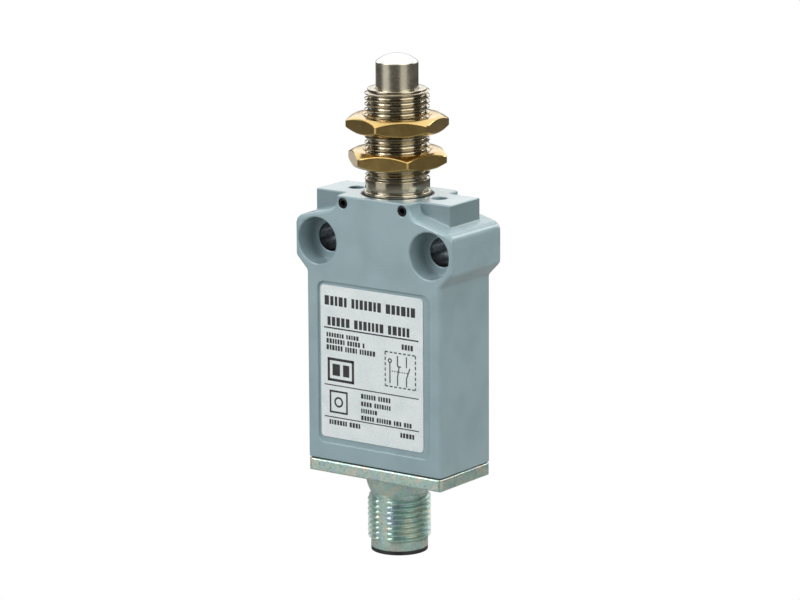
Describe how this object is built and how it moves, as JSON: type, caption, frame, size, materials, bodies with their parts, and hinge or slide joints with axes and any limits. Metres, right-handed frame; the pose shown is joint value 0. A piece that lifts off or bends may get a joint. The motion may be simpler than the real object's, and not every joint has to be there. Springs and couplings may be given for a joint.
{
  "type": "limit switch",
  "caption": "Compact die-cast limit switch with a domed push plunger in a threaded bushing with lock nuts, two mounting ears and a threaded plug connector underneath.",
  "frame": {"origin": "the point at mid-depth where the plunger's axis crosses the line through the two mounting holes", "axes": "+Z out along the plunger, +X to the right seen from the front, -Y out of the labelled front face, +Y out of the rear mounting face"},
  "size_m": [0.035, 0.0184, 0.0929],
  "materials": {
    "painted_housing": "satin light blue-grey paint on a zinc casting",
    "label_foil": "silver-white printed foil",
    "passivated_zinc": "zinc casting with a faintly iridescent clear passivation",
    "nickel_steel": "bright nickel plate with turning marks",
    "ground_steel": "finely turned and polished steel",
    "nut_brass": "turned brass, a little tarnished",
    "black_steel": "black oxide",
    "screw_steel": "zinc-plated steel",
    "spring_steel": "drawn spring wire",
    "pin_brass": "gold-flashed brass",
    "contact_copper": "copper alloy strip with silver rivets",
    "black_rubber": "matt black nitrile rubber",
    "red_rubber": "matt red-brown silicone rubber",
    "black_plastic": "glass-filled black plastic",
    "ivory_plastic": "moulded ivory plastic",
    "red_plastic": "moulded red plastic",
    "wire_brown": "wire insulation",
    "wire_white": "wire insulation",
    "wire_blue": "wire insulation",
    "wire_black": "wire insulation"
  },
  "bodies": {
    "switch": {"housing": "painted_housing", "label": "label_foil", "set_screw_left": "black_steel", "set_screw_right": "black_steel", "base_gasket": "black_rubber", "base_plate": "passivated_zinc", "base_screw_left": "screw_steel", "base_screw_right": "screw_steel", "connector_insert": "black_plastic", "insert_seal": "red_rubber", "connector_pin_1": "pin_brass", "connector_pin_2": "pin_brass", "connector_pin_3": "pin_brass", "connector_pin_4": "pin_brass", "bushing": "nickel_steel", "bushing_seal": "black_rubber", "plunger_seal": "black_rubber", "return_spring": "spring_steel", "spring_seat": "ground_steel", "retaining_ring": "spring_steel", "contact_case": "ivory_plastic", "contact_cover": "ivory_plastic", "slider_spring": "spring_steel", "nc_terminal_left": "contact_copper", "nc_terminal_right": "contact_copper", "no_terminal_left": "contact_copper", "no_terminal_right": "contact_copper", "lead_wire_1": "wire_brown", "lead_wire_2": "wire_white", "lead_wire_3": "wire_blue", "lead_wire_4": "wire_black"},
    "plunger": {"plunger": "ground_steel"},
    "slider": {"contact_slider": "red_plastic"},
    "nc_contact": {"nc_bridge": "contact_copper", "nc_spring": "spring_steel"},
    "no_contact": {"no_bridge": "contact_copper", "no_spring": "spring_steel"},
    "lower_nut": {"lower_nut": "nut_brass"},
    "upper_nut": {"upper_nut": "nut_brass"}
  },
  "joints": [
    {"name": "plunger_push", "type": "slide", "parent": "switch", "child": "plunger", "axis": [0, 0, -1], "range_m": [0, 0.0045], "stiffness_N_per_m": 1500, "springref_m": -0.004, "deforming": ["return_spring"]},
    {"name": "slider_push", "type": "slide", "parent": "switch", "child": "slider", "axis": [0, 0, -1], "range_m": [0, 0.0045], "deforming": ["slider_spring"]},
    {"name": "nc_open", "type": "slide", "parent": "switch", "child": "nc_contact", "axis": [0, 0, -1], "range_m": [0, 0.003], "deforming": ["nc_spring"]},
    {"name": "no_close", "type": "slide", "parent": "switch", "child": "no_contact", "axis": [0, 0, -1], "range_m": [0, 0.002], "deforming": ["no_spring"]},
    {"name": "lower_nut_travel", "type": "slide", "parent": "switch", "child": "lower_nut", "axis": [0, 0, 1], "range_m": [-0.0019, 0.0016]},
    {"name": "upper_nut_travel", "type": "slide", "parent": "switch", "child": "upper_nut", "axis": [0, 0, 1], "range_m": [-0.0016, 0.004]}
  ],
  "couplings": [
    {"joint": "slider_push", "follows": "plunger_push", "ratio": 1},
    {"joint": "nc_open", "follows": "plunger_push", "ratio": 0.66666},
    {"joint": "no_close", "follows": "plunger_push", "ratio": 0.44444}
  ]
}
